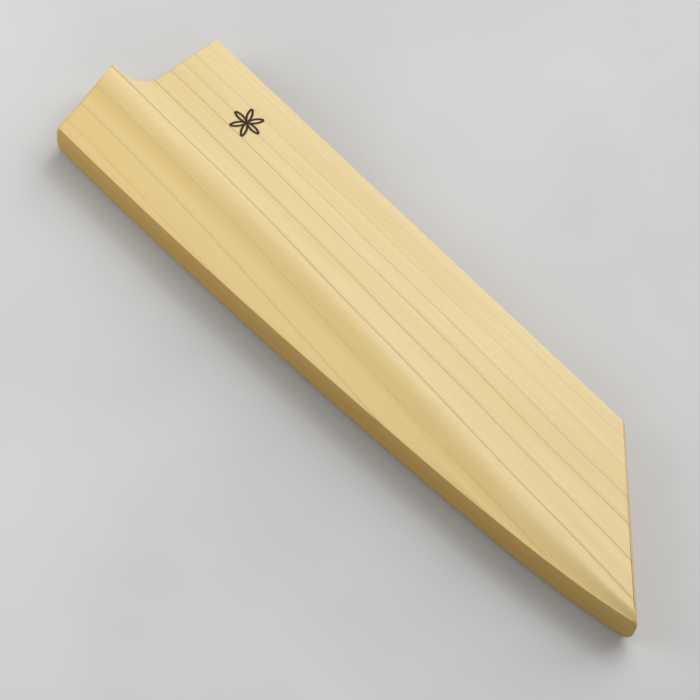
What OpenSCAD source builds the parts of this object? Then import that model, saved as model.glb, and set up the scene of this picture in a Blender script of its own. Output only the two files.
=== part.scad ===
// Wooden guard for a chef's knife with an angled tip.
// Two carved boards are glued over a thin core of three strips, which leave a slot for the blade.
// The guard lies on its back: +X runs from the mouth to the tip, +Y from the cutting edge side
// to the spine side, and +Z up out of the front face.

/* [Outline] */
// Length of the straight spine side, from the mouth to the back corner of the tip
spine_length = 182.4; // [150:1:230]
// Width from the spine side to the edge side at the heel
heel_width = 61.2; // [50:1:70]
// Angle between the spine side and the slanted tip face, in degrees
tip_angle = 43.5; // [35:0.1:60]
// Gentle sweep of the edge side over its whole length
edge_sweep = 12.6; // [6:0.1:16]
// Extra rise of the edge side close to the tip
tip_rise = 3.7; // [0:0.1:6]

/* [Mouth] */
// How far the tab reaches past the mouth at its inner corner
tab_inner_reach = 13; // [8:0.5:18]
// How far the tab reaches past the mouth at the edge side
tab_outer_reach = 6; // [3:0.5:8]
// Depth of the step from the spine side to the tab
step_depth = 31; // [26:0.5:34]
// Radius of the hollow corner in the step
step_radius = 7; // [5:0.5:9]

/* [Thickness] */
// Thickness at the flat field of the faces
field_thickness = 14.5; // [13:0.5:18]
// How much each face is carved down at the edge side
carve_drop = 1.5; // [0.8:0.1:2]
// Further drop of each face at the tip
tip_drop = 0.6; // [0:0.1:1]
// Thickness of the blade slot, which is that of the core strips
slot_thickness = 3; // [2:0.1:4]

/* [Carved face] */
// Width of the carved part at the heel
carve_heel_width = 25; // [20:0.5:28]
// Width of the carved part at the tip
carve_tip_width = 2.5; // [2:0.1:5]
// Width of the soft shoulder inside the carved part
shoulder_width = 11; // [8:0.5:14]
// Share of the drop that the shoulder takes at the heel
shoulder_share = 0.8; // [0.6:0.05:0.95]

/* [Core strips] */
// Width of the strip along the spine side
spine_strip_width = 6; // [4:0.5:8]
// Width of the strip along the edge side
edge_strip_width = 6.5; // [4:0.5:8]
// Width of the strip along the slanted tip face
tip_strip_width = 8; // [6:0.5:12]

/* [Rounding] */
// How far the mouth ends round back from the core to the faces
mouth_round = 1.5; // [1:0.1:1.6]
// How far the slanted tip face rounds back from the core to the faces
tip_round = 1.4; // [0.5:0.1:1.6]
// How far the spine side rounds back from the core to the faces
spine_round = 0.9; // [0.3:0.1:1.5]
// How far the crisp edge side rounds back from the core to the faces
edge_round = 0.3; // [0.1:0.1:0.6]
// Radius of the corners of the tab, seen from above
corner_radius = 2; // [1.8:0.1:3]
// Radius of the sharper point of the tip, seen from above
point_radius = 0.8; // [0.6:0.1:2]

/* [Hidden] */

wood = "burlywood";
core_wood = "tan";
middle_z = field_thickness / 2;
half_slot = slot_thickness / 2;

// Stations along the guard, and the levels of a board from its inner face to its outer face
stations = 22;
levels = [0, 0.5, 0.85, 1];
// The roundings are part of an ellipse: this is the share of its height that they use
ellipse_share = 0.94;

// Point counts of the stretches that make up the mouth outline, and the least gap of the rungs
arc_steps = 3;
straight_steps = 4;
hollow_steps = 4;
end_steps = 9;
rung_gap = 0.9;

// Outline, with x = 0 at the mouth and y = 0 along the spine side. The point at the end of the
// edge side lies about where the slanted face has run three quarters of the way across.
// The sweep bends the edge side evenly, and the rise only close to the point.
face_share_across = 0.75;
sweep_power = 1.75;
rise_power = 10;
edge_length = spine_length + face_share_across * heel_width;
function along(x) = max(0, x / edge_length);

// Distance from the spine side to the edge side at x
function edge_depth(x) = heel_width - edge_sweep * pow(along(x), sweep_power)
    - tip_rise * pow(along(x), rise_power);
function edge_slope(x) = (edge_depth(x) - edge_depth(x + 1));
function face_x(y) = spine_length - y / tan(tip_angle);

// Where the slanted tip face, moved in by a, meets the edge side, moved in by b
function tip_meet(a, b, x = spine_length, turns = 24) = turns == 0
    ? [x, -edge_depth(x) + b * norm([1, edge_slope(x)])]
    : tip_meet(a, b, face_x(-edge_depth(x) + b * norm([1, edge_slope(x)]))
        - a / sin(tip_angle), turns - 1);

// Corner centres and radii at a rounding share q, which is 0 at the core and 1 at the face.
// The radii shrink towards the face, the tab's by a share of the mouth's rounding.
tab_shrink = 0.8;
point_shrink = 0.3;
function corner_r(q) = corner_radius - q * tab_shrink * mouth_round;
function tip_r(q) = point_radius * (1 - point_shrink * q);
function tip_centre(q) = tip_meet(q * tip_round + tip_r(q), q * edge_round + tip_r(q));
tab_centre = [corner_radius - tab_inner_reach, -step_depth - corner_radius];
tab_corner = [-tab_outer_reach, -heel_width];
tab_run = tab_centre - tab_corner;
end_angle = atan2(tab_run.y, tab_run.x) + asin(corner_radius / norm(tab_run));
end_normal = end_angle + 90;

function spot(r, a) = [r * cos(a), r * sin(a)];
function mix(a, b, t) = a + (b - a) * t;
function arc(centre, r, from, to, steps) =
    [for (i = [0:steps]) centre + spot(r, mix(from, to, i / steps))];
function heel_centre(q) = let (
        r = corner_r(q),
        y = -heel_width + q * edge_round + r,
        inset = q * mouth_round + r,
        end_point = tab_corner - spot(inset, end_normal))
    [end_point.x + (y - end_point.y) / tan(end_angle), y];

// The mouth outline from the spine side round the step and the tab to the edge side
function mouth_line(q) = let (
        in = q * mouth_round,
        r = corner_r(q),
        spine_corner = arc([in + r, -q * spine_round - r], r, 90, 180, arc_steps),
        hollow_centre = [-step_radius, step_radius - step_depth],
        hollow = arc(hollow_centre, step_radius + in, 0, -90, hollow_steps),
        inner_corner = arc(tab_centre, corner_radius - in, 90, end_normal, arc_steps),
        outer_corner = arc(heel_centre(q), r, end_normal, 270, arc_steps),
        straight = [for (i = [1:straight_steps])
            mix(spine_corner[arc_steps], hollow[0], i / (straight_steps + 1))],
        end = [for (i = [1:end_steps])
            mix(inner_corner[arc_steps], outer_corner[0], i / (end_steps + 1))])
    concat(spine_corner, straight, hollow, inner_corner, end, outer_corner);

// Width of the carved part at x, and the depth at which the flat field ends. The carved part
// narrows slowly at first, and the face drops further only close to the tip.
narrow_power = 2;
drop_power = 4;
least_strip = 0.1;
function carve_width(x) = mix(carve_heel_width, carve_tip_width, pow(along(x), narrow_power));
function field_depth(x) = edge_depth(x) - carve_width(x);

// Rungs run from points of the mouth outline to points of the tip outline. Each keeps its
// share of the way across: 0 to 1 on the flat field, and 1 to 2 on the carved part. The first
// rungs take their depths from the mouth outline at the face, a small gap apart at least,
// so that they leave the step side by side. The rest are evenly spaced.
face_mouth = mouth_line(1);
last = len(face_mouth) - 1;
step_end = last - end_steps - arc_steps - 1;
inner_width = heel_width - spine_round - edge_round;
function natural_depth(j) = (-face_mouth[j].y - spine_round) * heel_width / inner_width;
step_depths = [for (j = 0, d = 0; j <= step_end;
    j = j + 1, d = max(natural_depth(min(j, last)), d + rung_gap)) d];
rung_depths = concat(step_depths, [for (j = [step_end + 1:last])
    mix(step_depths[step_end], heel_width, (j - step_end) / (last - step_end))]);
across = [for (d = rung_depths) d <= field_depth(0)
    ? d / field_depth(0)
    : 1 + (d - field_depth(0)) / carve_width(0)];
function depth_at(x, share) = share <= 1
    ? share * field_depth(x)
    : field_depth(x) + (share - 1) * carve_width(x);
function inset_depth(x, share, q) = q * spine_round
    + depth_at(x, share) * (1 - q * (spine_round + edge_round) / edge_depth(x));

// The tip outline: down the slanted face, then round the point to the edge side
face_points = last - arc_steps;
edge_normal_at_tip = -90 + atan(edge_slope(tip_centre(0).x));
function face_share(share, x = spine_length, turns = 24) = turns == 0
    ? (x - spine_length) / (tip_meet(0, 0).x - spine_length)
    : face_share(share, face_x(-depth_at(x, share)), turns - 1);
face_shares = [for (j = [0:last]) face_share(across[j])];
function tip_line(q) = let (
        start = [face_x(-q * spine_round) - q * tip_round / sin(tip_angle), -q * spine_round],
        point = arc(tip_centre(q), tip_r(q), 90 - tip_angle, edge_normal_at_tip, arc_steps))
    concat(
        [for (j = [0:face_points - 1]) mix(start, point[0], face_shares[j] / face_shares[face_points])],
        point);

// A station between the mouth and the tip: close together at both ends
function eased(i) = (1 - cos(180 * i / stations)) / 2;
function outline_grid(q) = let (mouth = mouth_line(q), tip = tip_line(q))
    [for (i = [0:stations]) [for (j = [0:last])
        i == 0 ? mouth[j]
        : i == stations ? tip[j]
        : let (x = mix(mouth[j].x, tip[j].x, eased(i)))
            [x, -inset_depth(x, across[j], q)]]];

// How far the face lies below its flat field at a point
function soft_step(t) = let (u = min(1, max(0, t))) u * u * (3 - 2 * u);
function face_drop(p) = let (
        width = carve_width(p.x),
        from_field = max(0, -p.y - field_depth(p.x)),
        shoulder = min(shoulder_width, width),
        strip_share = (1 - shoulder_share) * (1 - shoulder / carve_heel_width)
            * carve_heel_width / (carve_heel_width - shoulder_width),
        total = carve_drop + tip_drop * pow(along(p.x), drop_power))
    total * ((1 - strip_share) * soft_step(from_field / shoulder)
        + strip_share * min(1, max(0, (from_field - shoulder) / max(least_strip, width - shoulder))));
function face_height(p) = field_thickness / 2 - face_drop(p);
function round_share(level) = (1 - sqrt(1 - pow(ellipse_share * level, 2)))
    / (1 - sqrt(1 - pow(ellipse_share, 2)));

// A board as one closed skin: inner face, rounded walls and carved outer face.
// Heights count from the middle of the guard.
module board_skin() {
    rows = stations + 1;
    columns = last + 1;
    grids = [for (level = levels) outline_grid(round_share(level))];
    top = len(levels) - 1;
    inner = [for (row = grids[0], p = row) [p.x, p.y, half_slot]];
    outer = [for (row = grids[top], p = row) [p.x, p.y, face_height(p)]];
    rim = concat(
        [for (j = [0:last - 1]) [0, j]],
        [for (i = [0:stations - 1]) [i, last]],
        [for (j = [last:-1:1]) [stations, j]],
        [for (i = [stations:-1:1]) [i, 0]]);
    walls = [for (k = [1:top - 1], at = rim)
        let (p = grids[k][at[0]][at[1]], high = face_height(grids[top][at[0]][at[1]]))
        [p.x, p.y, mix(half_slot, high, levels[k])]];
    grid_size = rows * columns;
    rim_size = len(rim);
    function rim_index(k, n) = let (at = rim[n % rim_size], flat = at[0] * columns + at[1])
        k == 0 ? flat
        : k == top ? grid_size + flat
        : 2 * grid_size + (k - 1) * rim_size + n % rim_size;
    function cell(base, i, j) = [for (d = [[0, 0], [0, 1], [1, 1], [1, 0]])
        base + (i + d[0]) * columns + j + d[1]];
    cells = [for (i = [0:stations - 1], j = [0:last - 1]) [i, j]];
    bottom_faces = [for (c = cells) let (q = cell(0, c[0], c[1]))
        each [[q[0], q[1], q[2]], [q[0], q[2], q[3]]]];
    top_faces = [for (c = cells) let (q = cell(grid_size, c[0], c[1]))
        each [[q[0], q[2], q[1]], [q[0], q[3], q[2]]]];
    wall_faces = [for (k = [0:top - 1], n = [0:rim_size - 1]) let (
            a = rim_index(k, n), b = rim_index(k, n + 1),
            c = rim_index(k + 1, n + 1), d = rim_index(k + 1, n))
        each [[a, c, b], [a, d, c]]];
    polyhedron(concat(inner, outer, walls), concat(bottom_faces, top_faces, wall_faces));
}

// Outline of the whole guard at its core
core_grid = outline_grid(0);
mouth_points = core_grid[0];
edge_points = [for (i = [0:stations]) core_grid[i][last]];
tip_points = core_grid[stations];

module core_outline() {
    polygon(concat(
        mouth_points,
        [for (i = [1:stations]) edge_points[i]],
        [for (j = [last - 1:-1:0]) tip_points[j]]));
}

// The outline cut along the slot's own sides
big = 2 * (spine_length + heel_width);
module spine_side() {
    translate([-big / 2, -spine_strip_width]) square([big, big]);
}
module edge_side() {
    inner = [for (i = [-2:stations + 2])
        let (x = mix(-tab_inner_reach, tip_points[0].x + heel_width, i / stations))
        [x, -edge_depth(x) + edge_strip_width]];
    polygon(concat(inner, [[big, -big], [-big, -big], [-big, inner[0].y]]));
}
module tip_side() {
    translate([spine_length - tip_strip_width / sin(tip_angle), 0])
        rotate(-tip_angle) translate([-big / 2, 0]) square([big, big]);
}
module strip() {
    translate([0, 0, middle_z - half_slot])
        linear_extrude(slot_thickness) intersection() {
            core_outline();
            children();
        }
}

// Puts the middle of the guard's length and width over the origin
reach_from = min([for (p = mouth_points) p.x]);
reach_to = max([for (p = tip_points) p.x]);
module placed() {
    translate([-(reach_from + reach_to) / 2, heel_width / 2, 0]) children();
}

module front_board() {
    color(wood) placed() translate([0, 0, middle_z]) board_skin();
}

module back_board() {
    color(wood) placed() translate([0, 0, middle_z]) mirror([0, 0, 1]) board_skin();
}

module spine_strip() {
    color(core_wood) placed() strip() spine_side();
}

module edge_strip() {
    color(core_wood) placed() strip() edge_side();
}

module tip_strip() {
    color(core_wood) placed() strip() difference() {
        tip_side();
        spine_side();
        edge_side();
    }
}

front_board();
back_board();
spine_strip();
edge_strip();
tip_strip();
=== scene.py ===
# A wooden guard for a chef's knife with an angled tip, lying on its back on a pale table.
# The two carved boards are rebuilt here as fine smooth meshes from the same few sizes as the solids.
# The three core strips between them are the solids themselves. Lengths below are in millimetres.
import math

import bpy
from mathutils import Matrix, Vector


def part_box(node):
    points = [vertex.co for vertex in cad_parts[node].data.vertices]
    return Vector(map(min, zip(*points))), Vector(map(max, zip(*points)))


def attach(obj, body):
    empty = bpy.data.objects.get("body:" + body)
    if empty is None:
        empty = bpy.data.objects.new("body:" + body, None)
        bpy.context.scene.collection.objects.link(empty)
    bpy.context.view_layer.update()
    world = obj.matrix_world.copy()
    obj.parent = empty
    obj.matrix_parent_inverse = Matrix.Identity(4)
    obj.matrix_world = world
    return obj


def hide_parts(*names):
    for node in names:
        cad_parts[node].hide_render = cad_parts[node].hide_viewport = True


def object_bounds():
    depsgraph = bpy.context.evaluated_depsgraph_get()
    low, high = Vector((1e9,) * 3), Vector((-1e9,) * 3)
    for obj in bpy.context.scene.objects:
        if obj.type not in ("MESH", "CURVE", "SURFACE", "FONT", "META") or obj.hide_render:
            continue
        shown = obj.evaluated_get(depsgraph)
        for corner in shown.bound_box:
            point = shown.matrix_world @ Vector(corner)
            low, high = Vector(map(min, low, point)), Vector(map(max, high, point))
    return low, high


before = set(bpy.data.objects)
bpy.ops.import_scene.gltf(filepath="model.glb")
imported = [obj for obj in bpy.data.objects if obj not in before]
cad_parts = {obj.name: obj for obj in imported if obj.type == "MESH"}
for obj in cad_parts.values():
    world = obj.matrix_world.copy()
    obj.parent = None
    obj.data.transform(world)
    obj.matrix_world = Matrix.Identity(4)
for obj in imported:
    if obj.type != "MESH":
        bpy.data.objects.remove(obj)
cad_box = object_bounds()

MM = 0.001

# Sizes taken from the frame
whole_low, whole_high = [Vector(corner) / MM for corner in cad_box]
spine_low, spine_high = [Vector(corner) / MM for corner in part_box("spine_strip")]
field_thickness = whole_high.z - whole_low.z
heel_width = whole_high.y - whole_low.y
slot_thickness = spine_high.z - spine_low.z

# The outline's own sizes and powers, as in the part's source
spine_length = 182.4
tip_angle = math.radians(43.5)
edge_sweep = 12.6
tip_rise = 3.7
tab_inner_reach = 13
tab_outer_reach = 6
step_depth = 31
step_radius = 7
carve_drop = 1.5
tip_drop = 0.6
carve_heel_width = 25
carve_tip_width = 2.5
shoulder_width = 11
shoulder_share = 0.8
mouth_round = 1.5
tip_round = 1.4
spine_round = 0.9
edge_round = 0.3
corner_radius = 2
point_radius = 0.8
tab_shrink = 0.8
point_shrink = 0.3
least_radius = 0.15
least_strip = 0.1
face_share_across = 0.75
sweep_power = 1.75
rise_power = 10
narrow_power = 2
drop_power = 4
edge_length = spine_length + face_share_across * heel_width

# Where the mouth and the spine side lie in the frame
mouth_x = whole_low.x + tab_inner_reach
spine_y = whole_high.y
middle_z = field_thickness / 2
half_slot = slot_thickness / 2

# How fine the boards are
stations = 84
arc_steps = 7
straight_steps = 9
hollow_steps = 10
end_steps = 30
rung_gap = 0.35
wall_levels = [0, 0.15, 0.3, 0.45, 0.6, 0.72, 0.82, 0.9, 0.96, 1]
ellipse_share = 0.94
arris_radius = 0.22
arris_shrink = 0.8
arris_steps = 3
settling_turns = 30


def mix(a, b, t):
    return a + (b - a) * t


def along(x):
    return max(0, x / edge_length)


def edge_depth(x):
    """Distance from the spine side to the edge side."""
    return (heel_width - edge_sweep * along(x) ** sweep_power
            - tip_rise * along(x) ** rise_power)


def edge_slope(x):
    return edge_depth(x) - edge_depth(x + 1)


def face_x(y):
    """Where the slanted tip face is at y."""
    return spine_length - y / math.tan(tip_angle)


def carve_width(x):
    """Width of the carved part of the face at x."""
    return mix(carve_heel_width, carve_tip_width, along(x) ** narrow_power)


def field_depth(x):
    """Distance from the spine side to the end of the flat field."""
    return edge_depth(x) - carve_width(x)


def soft_step(t):
    t = min(1, max(0, t))
    return t * t * (3 - 2 * t)


def face_height(point):
    """Height of the carved face over the middle of the guard."""
    width = carve_width(point.x)
    from_field = max(0, -point.y - field_depth(point.x))
    shoulder = min(shoulder_width, width)
    strip_share = ((1 - shoulder_share) * (1 - shoulder / carve_heel_width)
                   * carve_heel_width / (carve_heel_width - shoulder_width))
    strip = min(1, max(0, (from_field - shoulder) / max(least_strip, width - shoulder)))
    total = carve_drop + tip_drop * along(point.x) ** drop_power
    drop = (1 - strip_share) * soft_step(from_field / shoulder) + strip_share * strip
    return field_thickness / 2 - total * drop


class Inset:
    """How far each side is moved in: by the rounding's share, and by the arris at the face."""

    def __init__(self, share, arris=0):
        self.mouth = share * mouth_round + arris
        self.spine = share * spine_round + arris
        self.edge = share * edge_round + arris
        self.tip = share * tip_round + arris
        self.corner = corner_radius - share * tab_shrink * mouth_round - arris_shrink * arris
        self.point = point_radius * (1 - point_shrink * share) - arris_shrink * arris


def arc(centre, radius, start, end, steps):
    angles = [mix(start, end, i / steps) for i in range(steps + 1)]
    return [centre + radius * Vector((math.cos(a), math.sin(a))) for a in angles]


tab_centre = Vector((corner_radius - tab_inner_reach, -step_depth - corner_radius))
tab_corner = Vector((-tab_outer_reach, -heel_width))
tab_run = tab_centre - tab_corner
end_angle = math.atan2(tab_run.y, tab_run.x) + math.asin(corner_radius / tab_run.length)
end_normal = end_angle + math.pi / 2


def mouth_line(inset):
    """The mouth outline from the spine side round the step and the tab to the edge side."""
    quarter = math.pi / 2
    radius = inset.corner
    spine_corner = arc(Vector((inset.mouth + radius, -inset.spine - radius)), radius,
                       quarter, 2 * quarter, arc_steps)
    hollow_centre = Vector((-step_radius, step_radius - step_depth))
    hollow = arc(hollow_centre, step_radius + inset.mouth, 0, -quarter, hollow_steps)
    inner_corner = arc(tab_centre, max(least_radius, corner_radius - inset.mouth),
                       quarter, end_normal, arc_steps)
    out = inset.mouth + radius
    end_point = tab_corner - out * Vector((math.cos(end_normal), math.sin(end_normal)))
    centre_y = -heel_width + inset.edge + radius
    centre = Vector((end_point.x + (centre_y - end_point.y) / math.tan(end_angle), centre_y))
    outer_corner = arc(centre, radius, end_normal, 3 * quarter, arc_steps)
    straight = [spine_corner[-1].lerp(hollow[0], i / (straight_steps + 1))
                for i in range(1, straight_steps + 1)]
    end = [inner_corner[-1].lerp(outer_corner[0], i / (end_steps + 1))
           for i in range(1, end_steps + 1)]
    return spine_corner + straight + hollow + inner_corner + end + outer_corner


def rung_shares():
    """Each rung's share of the way across: 0 to 1 on the flat field, 1 to 2 on the carved part."""
    line = mouth_line(Inset(1, arris_radius))
    last = len(line) - 1
    step_end = last - end_steps - arc_steps - 1
    top, bottom = -line[0].y, -line[last].y
    depths = [0]
    for j in range(1, step_end + 1):
        own = (-line[j].y - top) * heel_width / (bottom - top)
        depths.append(max(own, depths[-1] + rung_gap))
    run = last - step_end
    depths += [mix(depths[step_end], heel_width, j / run) for j in range(1, run + 1)]
    field = field_depth(0)
    return [d / field if d <= field else 1 + (d - field) / carve_width(0) for d in depths]


shares = rung_shares()


def depth_at(x, share):
    if share <= 1:
        return share * field_depth(x)
    return field_depth(x) + (share - 1) * carve_width(x)


def tip_meet(tip_inset, edge_inset):
    """Where the tip face, moved in, meets the edge side, moved in."""
    x = spine_length
    for _ in range(settling_turns):
        y = -edge_depth(x) + edge_inset * math.hypot(1, edge_slope(x))
        x = face_x(y) - tip_inset / math.sin(tip_angle)
    return Vector((x, -edge_depth(x) + edge_inset * math.hypot(1, edge_slope(x))))


def face_share(share):
    """How far along the tip face a rung ends, from 0 at the spine side to 1 at the point."""
    x = spine_length
    for _ in range(settling_turns):
        x = face_x(-depth_at(x, share))
    return (x - spine_length) / (tip_meet(0, 0).x - spine_length)


def tip_line(inset):
    """The tip outline: down the slanted face, then round the point to the edge side."""
    radius = inset.point
    centre = tip_meet(inset.tip + radius, inset.edge + radius)
    start = Vector((face_x(-inset.spine) - inset.tip / math.sin(tip_angle), -inset.spine))
    point = arc(centre, radius, math.pi / 2 - tip_angle,
                -math.pi / 2 + math.atan(edge_slope(centre.x)), arc_steps)
    face_points = len(shares) - 1 - arc_steps
    run = [start.lerp(point[0], face_share(shares[j]) / face_share(shares[face_points]))
           for j in range(face_points)]
    return run + point


def outline_grid(inset):
    """Points of a board's face, station by station from the mouth to the tip."""
    mouth = mouth_line(inset)
    tip = tip_line(inset)
    grid = [mouth]
    for i in range(1, stations):
        eased = (1 - math.cos(math.pi * i / stations)) / 2
        row = []
        for share, start, end in zip(shares, mouth, tip):
            x = mix(start.x, end.x, eased)
            inner = 1 - (inset.spine + inset.edge) / edge_depth(x)
            row.append(Vector((x, -inset.spine - depth_at(x, share) * inner)))
        grid.append(row)
    return grid + [tip]


def round_share(level):
    """Share of the rounding at a level of the wall, from 0 at the core to 1 at the arris."""
    return ((1 - math.sqrt(1 - (ellipse_share * level) ** 2))
            / (1 - math.sqrt(1 - ellipse_share ** 2)))


def rim(rows, columns):
    """Places of the grid's border, once round."""
    return ([(0, j) for j in range(columns - 1)] + [(i, columns - 1) for i in range(rows - 1)]
            + [(rows - 1, j) for j in range(columns - 1, 0, -1)]
            + [(i, 0) for i in range(rows - 1, 0, -1)])


def board(name, side):
    """One board: flat inner face, rounded walls, a soft arris and the carved face.
    side is 1 for the front and -1 for the back."""
    inner_grid = outline_grid(Inset(0))
    outer_grid = outline_grid(Inset(1, arris_radius))
    rows, columns = len(inner_grid), len(inner_grid[0])
    border = rim(rows, columns)
    rings = []
    for level in wall_levels[1:]:
        grid = outline_grid(Inset(round_share(level)))
        rings.append([(grid[i][j], mix(half_slot, face_height(outer_grid[i][j]) - arris_radius, level))
                      for i, j in border])
    for step in range(1, arris_steps):
        turn = math.pi / 2 * step / arris_steps
        grid = outline_grid(Inset(1, arris_radius * (1 - math.cos(turn))))
        lift = arris_radius * (math.sin(turn) - 1)
        rings.append([(grid[i][j], face_height(outer_grid[i][j]) + lift) for i, j in border])

    def place(point, height):
        return Vector((mouth_x + point.x, spine_y + point.y, middle_z + side * height)) * MM

    verts = [place(p, half_slot) for row in inner_grid for p in row]
    verts += [place(p, face_height(p)) for row in outer_grid for p in row]
    verts += [place(p, height) for ring in rings for p, height in ring]
    grid_size, border_size = rows * columns, len(border)

    def ring_index(k, n):
        i, j = border[n % border_size]
        if k == 0:
            return i * columns + j
        if k == len(rings) + 1:
            return grid_size + i * columns + j
        return 2 * grid_size + (k - 1) * border_size + n % border_size

    faces = []
    for i in range(rows - 1):
        for j in range(columns - 1):
            a = i * columns + j
            quad = (a, a + columns, a + columns + 1, a + 1)
            faces.append(quad)
            faces.append(tuple(grid_size + v for v in reversed(quad)))
    for k in range(len(rings) + 1):
        for n in range(border_size):
            faces.append((ring_index(k, n), ring_index(k, n + 1),
                          ring_index(k + 1, n + 1), ring_index(k + 1, n)))
    if side == 1:
        faces = [tuple(reversed(face)) for face in faces]
    mesh = bpy.data.meshes.new(name)
    mesh.from_pydata(verts, [], faces)
    mesh.update()
    mesh.polygons.foreach_set("use_smooth", [True] * len(mesh.polygons))
    mesh.set_sharp_from_angle(angle=math.radians(50))
    piece = bpy.data.objects.new(name, mesh)
    bpy.context.collection.objects.link(piece)
    return piece


class Socket:
    """A node's output that takes part in sums, so that shader maths reads as plain expressions."""

    def __init__(self, shader, output):
        self.shader = shader
        self.output = output

    def sum(self, operation, *values):
        return self.shader.node("ShaderNodeMath", {"operation": operation}, *values)

    def __add__(self, other):
        return self.sum("ADD", self, other)

    def __radd__(self, other):
        return self.sum("ADD", other, self)

    def __sub__(self, other):
        return self.sum("SUBTRACT", self, other)

    def __rsub__(self, other):
        return self.sum("SUBTRACT", other, self)

    def __mul__(self, other):
        return self.sum("MULTIPLY", self, other)

    def __rmul__(self, other):
        return self.sum("MULTIPLY", other, self)

    def __truediv__(self, other):
        return self.sum("DIVIDE", self, other)

    def __rtruediv__(self, other):
        return self.sum("DIVIDE", other, self)

    def __pow__(self, other):
        return self.sum("POWER", self, other)

    def __abs__(self):
        return self.sum("ABSOLUTE", self)

    def at_least(self, other):
        return self.sum("MAXIMUM", self, other)

    def at_most(self, other):
        return self.sum("MINIMUM", self, other)

    def ramp(self, low, high):
        """0 at low, 1 at high, smooth between them."""
        return self.shader.node("ShaderNodeMapRange", {"interpolation_type": "SMOOTHSTEP"},
                                self, low, high)


class Shader:
    """One material and its nodes."""

    def __init__(self, name):
        self.material = bpy.data.materials.new(name)
        self.material.use_nodes = True
        self.tree = self.material.node_tree
        self.surface = self.tree.nodes["Principled BSDF"]

    def node(self, kind, settings=None, *values, output=0, **named):
        made = self.tree.nodes.new(kind)
        for name, value in (settings or {}).items():
            setattr(made, name, value)
        for key, value in list(enumerate(values)) + list(named.items()):
            self.feed(made.inputs[key.replace("_", " ") if isinstance(key, str) else key], value)
        return Socket(self, made.outputs[output])

    def feed(self, target, value):
        if isinstance(value, Socket):
            self.tree.links.new(value.output, target)
        elif value is not None:
            target.default_value = value

    def noise(self, place, scale, detail=2, roughness=0.5):
        return self.node("ShaderNodeTexNoise", None, Vector=place, Scale=scale,
                         Detail=detail, Roughness=roughness)

    def vector(self, x, y, z):
        return self.node("ShaderNodeCombineXYZ", None, x, y, z)

    def blend(self, share, low, high, mode="MIX"):
        made = self.tree.nodes.new("ShaderNodeMix")
        made.data_type = "RGBA"
        made.blend_type = mode
        self.feed(made.inputs["Factor"], share)
        self.feed(made.inputs[6], low)
        self.feed(made.inputs[7], high)
        return Socket(self, made.outputs[2])

    def stops(self, share, places):
        """A ramp through (place, value) pairs."""
        made = self.tree.nodes.new("ShaderNodeValToRGB")
        ramp = made.color_ramp
        while len(ramp.elements) < len(places):
            ramp.elements.new(0.5)
        for element, (place, value) in zip(ramp.elements, places):
            element.position = place
            element.color = (value, value, value, 1)
        self.feed(made.inputs[0], share)
        return Socket(self, made.outputs[0])

    def finish(self, **sockets):
        for name, value in sockets.items():
            self.feed(self.surface.inputs[name.replace("_", " ")], value)
        return self.material


def shade(red, green, blue):
    """A colour given as it looks on a screen, from 0 to 255."""
    def linear(v):
        v /= 255
        return v / 12.92 if v <= 0.04045 else ((v + 0.055) / 1.055) ** 2.4
    return (linear(red), linear(green), linear(blue), 1)


# The growth rings that show as thin dark lines: distance from the spine side at the mouth, and strength
GROWTH_LINES = [(4.4, 0.25), (10.1, 0.35), (15.4, 0.6), (20.5, 0.8), (26.8, 0.8), (33.4, 1),
                (41.7, 0.35), (49.5, 0.6), (56.8, 0.4)]
LINE_WIDTH = 0.3
LINE_LEAD = 0.6
# The rings sway a little, spread towards the tip, and lean through the thickness
SWAY = 2.4
SPREAD = 0.2
SPREAD_LENGTH = 210
SPREAD_POWER = 1.4
LEAN = 0.35

# How often each figure of the wood repeats in a millimetre: along, across and through the guard
SWAY_FIGURE = (0.012, 0.06, 0.06)
BROAD_FIGURE = (0.01, 0.16, 0.1)
STREAK_FIGURE = (0.03, 1.4, 1.2)
FIBRE_FIGURE = (0.12, 6, 6)
PORE_FIGURE = (0.5, 14, 14)

FIELD_PALE = (217, 195, 142)
FIELD_WARM = (211, 187, 128)
# Carved wood tone, darker partly as painted shade of the sloping shoulder
CARVED_TONE_AND_SHADE = (205, 176, 104)
STREAK_TONE = (202, 174, 116)
FIBRE_TONE = (190, 160, 104)
GROWTH_TONE = (152, 130, 92)
PORE_TONE = (150, 118, 74)
# Painted shade for the upright walls, which face away from the light
WALL_SHADE_TONE = (180, 138, 54)
SCORCH_TONE = (150, 104, 54)
CHAR_TONE = (26, 13, 8)
TABLE_LIGHT = (196, 196, 195)
TABLE_DARK = (188, 188, 187)

# How strongly painted shade darkens the upright walls of each piece
BOARD_WALL_SHADE = 0.7
STRIP_WALL_SHADE = 0.8

# The burnt ornament: a six-petalled compass flower on the flat field near the mouth
FLOWER_PLACE = (31.6, -15.2)
FLOWER_RADIUS = 5.6
FLOWER_PETALS = 6
FLOWER_LINE = 0.36
FLOWER_RIM = 0.1
FLOWER_LINE_SOFT = (0.08, 0.12)
SCORCH_REACH = (0.2, 1.1)
FRONT_FROM_MIDDLE = (3, 4)


def ring_stops():
    """Each ring darkens slowly towards its line and ends sharply after it."""
    places = []
    for depth, strength in GROWTH_LINES:
        places += [((depth - LINE_LEAD) / heel_width, 0), (depth / heel_width, strength),
                   ((depth + LINE_WIDTH) / heel_width, 0)]
    return places


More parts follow.
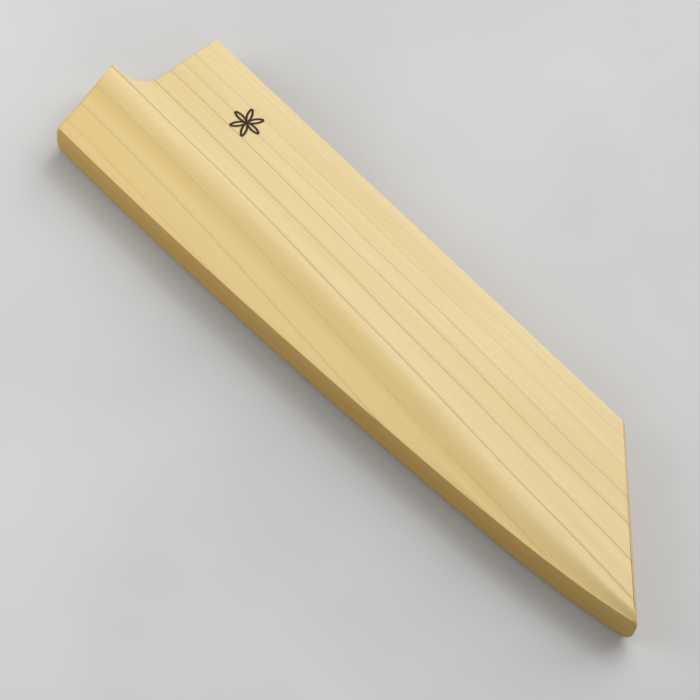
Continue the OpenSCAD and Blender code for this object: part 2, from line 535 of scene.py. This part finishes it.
def flower_mask(shader, x, y, height):
    """The flower's burnt lines and the scorched wood beside them, on the front face alone."""
    px = x - FLOWER_PLACE[0]
    py = y - FLOWER_PLACE[1]
    lines = None
    for k in range(FLOWER_PETALS):
        turn = 2 * math.pi / FLOWER_PETALS * k
        dx = px - FLOWER_RADIUS * math.cos(turn)
        dy = py - FLOWER_RADIUS * math.sin(turn)
        off = abs((dx * dx + dy * dy) ** 0.5 - FLOWER_RADIUS)
        lines = off if lines is None else lines.at_most(off)
    distance = (px * px + py * py) ** 0.5
    inside = 1 - distance.ramp(FLOWER_RADIUS - FLOWER_RIM, FLOWER_RADIUS + FLOWER_RIM)
    front = height.ramp(middle_z + FRONT_FROM_MIDDLE[0], middle_z + FRONT_FROM_MIDDLE[1])
    line_from, line_to = FLOWER_LINE - FLOWER_LINE_SOFT[0], FLOWER_LINE + FLOWER_LINE_SOFT[1]
    burnt = (1 - lines.ramp(line_from, line_to)) * inside * front
    halo = (1 - lines.ramp(*SCORCH_REACH)) * inside * front
    return burnt, halo


def carved_mask(x, y):
    """0 on the flat field and 1 on the carved part."""
    reach = x.at_least(0) / edge_length
    field_end = (heel_width - carve_heel_width - reach ** sweep_power * edge_sweep
                 + reach ** narrow_power * (carve_heel_width - carve_tip_width))
    return (0 - y - field_end).ramp(-3, 7)


def painted_wall_shade(shader):
    """1 on upright surfaces and 0 on flat ones; it sets where painted shade darkens the walls."""
    geometry = shader.tree.nodes.new("ShaderNodeNewGeometry")
    split = shader.tree.nodes.new("ShaderNodeSeparateXYZ")
    shader.tree.links.new(geometry.outputs["True Normal"], split.inputs[0])
    return 1 - abs(Socket(shader, split.outputs[2])).ramp(0.2, 0.9)


def wood(name, flower, wall_shade_share):
    """Pale straight-grained wood, cut from one block: rings, fine streaks, pores and sanding, with
    painted shade on the carved slope and on upright walls.
    """
    shader = Shader(name)
    place = shader.node("ShaderNodeTexCoord", output=3)
    split = shader.tree.nodes.new("ShaderNodeSeparateXYZ")
    shader.feed(split.inputs[0], place)
    x, y, z = [Socket(shader, output) / MM for output in split.outputs]
    x = x - mouth_x
    y = y - spine_y

    def figure(rates, across, detail, roughness=0.5):
        stretched = shader.vector(x * rates[0], across * rates[1], z * rates[2])
        return shader.noise(stretched, 1.0, detail, roughness)

    sway = (figure(SWAY_FIGURE, y, 1) - 0.5) * SWAY
    drift = 1 + (x.at_least(0) / SPREAD_LENGTH) ** SPREAD_POWER * SPREAD
    depth = (0 - y) / drift + (z - field_thickness) * LEAN + sway
    rings = shader.stops(depth / heel_width, ring_stops())
    broad = figure(BROAD_FIGURE, depth, 2)
    streaks = figure(STREAK_FIGURE, depth, 3, 0.6)
    fibres = figure(FIBRE_FIGURE, y, 3, 0.65)
    pores = figure(PORE_FIGURE, y, 2).ramp(0.62, 0.74)

    # The carved part gets warmer, darker wood that also paints the shade of its sloping shoulder, and
    # upright walls get painted shade
    tone = shader.blend(broad.ramp(0.3, 0.7), shade(*FIELD_PALE), shade(*FIELD_WARM))
    for share, colour in ((carved_mask(x, y) * 0.75, CARVED_TONE_AND_SHADE),
                          (streaks.ramp(0.35, 0.7) * 0.28, STREAK_TONE),
                          (fibres.ramp(0.45, 0.75) * 0.15, FIBRE_TONE),
                          (rings * (0.75 + fibres * 0.3) * 0.75, GROWTH_TONE),
                          (pores * 0.18, PORE_TONE),
                          (painted_wall_shade(shader) * wall_shade_share, WALL_SHADE_TONE)):
        tone = shader.blend(share, tone, shade(*colour))
    rough = 0.4 + fibres * 0.1 - rings * 0.05
    relief = fibres * 0.5 + streaks * 0.4 - pores * 0.5 - rings * 0.5
    if flower:
        burnt, halo = flower_mask(shader, x, y, z)
        tone = shader.blend(halo * 0.28, tone, shade(*SCORCH_TONE))
        tone = shader.blend(burnt * 0.97, tone, shade(*CHAR_TONE))
        rough = rough + burnt * 0.5
        relief = relief - burnt * 3
    bump = shader.node("ShaderNodeBump", None, Strength=0.25, Distance=0.00012, Height=relief)
    return shader.finish(Base_Color=tone, Roughness=rough, Normal=bump)


def dress(piece, material):
    piece.data.materials.clear()
    piece.data.materials.append(material)


def boards():
    front_wood = wood("front_board_wood", True, BOARD_WALL_SHADE)
    back_wood = wood("back_board_wood", False, BOARD_WALL_SHADE)
    for name, node, side, material in (("front_board_carved", "front_board", 1, front_wood),
                                       ("back_board_carved", "back_board", -1, back_wood)):
        piece = board(name, side)
        dress(piece, material)
        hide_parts(node)
        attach(piece, "root")


def core_strips():
    material = wood("core_strip_wood", False, STRIP_WALL_SHADE)
    for node in ("spine_strip", "edge_strip", "tip_strip"):
        dress(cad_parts[node], material)


TABLE_SIZE = 3.0
TABLE_CLOUDS = 9.0


def table_top():
    """A plain pale table with a soft unevenness, under the guard."""
    half = TABLE_SIZE / 2
    mesh = bpy.data.meshes.new("table_top")
    mesh.from_pydata([(-half, -half, 0), (half, -half, 0), (half, half, 0), (-half, half, 0)],
                     [], [(0, 1, 2, 3)])
    table = bpy.data.objects.new("table_top", mesh)
    bpy.context.collection.objects.link(table)
    shader = Shader("pale_table")
    place = shader.node("ShaderNodeTexCoord", output=3)
    cloud = shader.noise(place, TABLE_CLOUDS, 3)
    tone = shader.blend(cloud.ramp(0.35, 0.7), shade(*TABLE_LIGHT), shade(*TABLE_DARK))
    dress(table, shader.finish(Base_Color=tone, Roughness=0.8))


# The photograph's camera: its place over the guard, and its turns
CAMERA_FROM_MOUTH = Vector((312.6, -319.8, 606.0))
CAMERA_PITCH = math.radians(60.16)
CAMERA_ROLL = math.radians(-11.72)
GUARD_TURN = math.radians(36.3236)
FOCAL_PIXELS = 2300
IMAGE_PIXELS = 700
SENSOR = 36


def view_axes():
    """The photograph's right and away directions, flat on the table."""
    right = Vector((math.cos(GUARD_TURN), math.sin(GUARD_TURN), 0))
    away = Vector((-math.sin(GUARD_TURN), math.cos(GUARD_TURN), 0))
    return right, away


def camera():
    right, away = view_axes()
    up = Vector((0, 0, 1))
    forward = away * math.cos(CAMERA_PITCH) - up * math.sin(CAMERA_PITCH)
    down = -away * math.sin(CAMERA_PITCH) - up * math.cos(CAMERA_PITCH)
    rolled_right = right * math.cos(CAMERA_ROLL) + down * math.sin(CAMERA_ROLL)
    rolled_down = down * math.cos(CAMERA_ROLL) - right * math.sin(CAMERA_ROLL)
    data = bpy.data.cameras.new("photo_camera")
    data.sensor_width = SENSOR
    data.lens = SENSOR * FOCAL_PIXELS / IMAGE_PIXELS
    data.clip_start = 0.01
    data.clip_end = 20
    taker = bpy.data.objects.new("photo_camera", data)
    bpy.context.collection.objects.link(taker)
    place = Vector((mouth_x, spine_y, 0)) + CAMERA_FROM_MOUTH
    axes = Matrix((rolled_right, -rolled_down, -forward)).transposed()
    taker.matrix_world = Matrix.Translation(place * MM) @ axes.to_4x4()
    bpy.context.scene.camera = taker


# Soft lights: height over the table, distance along it and size in metres, and power in watts
def soft_light(name, towards, height, distance, size, power, colour):
    data = bpy.data.lights.new(name, "AREA")
    data.shape = "SQUARE"
    data.size = size
    data.energy = power
    data.color = colour
    lamp = bpy.data.objects.new(name, data)
    bpy.context.collection.objects.link(lamp)
    place = towards.normalized() * distance + Vector((0, 0, height))
    lamp.location = place
    lamp.rotation_euler = (-place).to_track_quat("-Z", "Y").to_euler()


def studio():
    right, away = view_axes()
    soft_light("window", right * 0.59 + away * 0.81, 1.0, 1.4, 1.7, 26, (1, 0.985, 0.965))
    soft_light("sheen", away, 1.5, 0.85, 0.9, 8, (0.97, 0.98, 1))
    soft_light("fill", right * -1 - away * 0.1, 0.3, 0.55, 0.45, 1.7, (1, 0.99, 0.97))
    world = bpy.data.worlds.new("studio")
    bpy.context.scene.world = world
    world.use_nodes = True
    sky = world.node_tree.nodes["Background"]
    sky.inputs["Color"].default_value = (0.95, 0.97, 1.0, 1)
    sky.inputs["Strength"].default_value = 0.38
    bpy.context.scene.view_settings.view_transform = "Standard"


camera()
boards()
core_strips()
table_top()
studio()
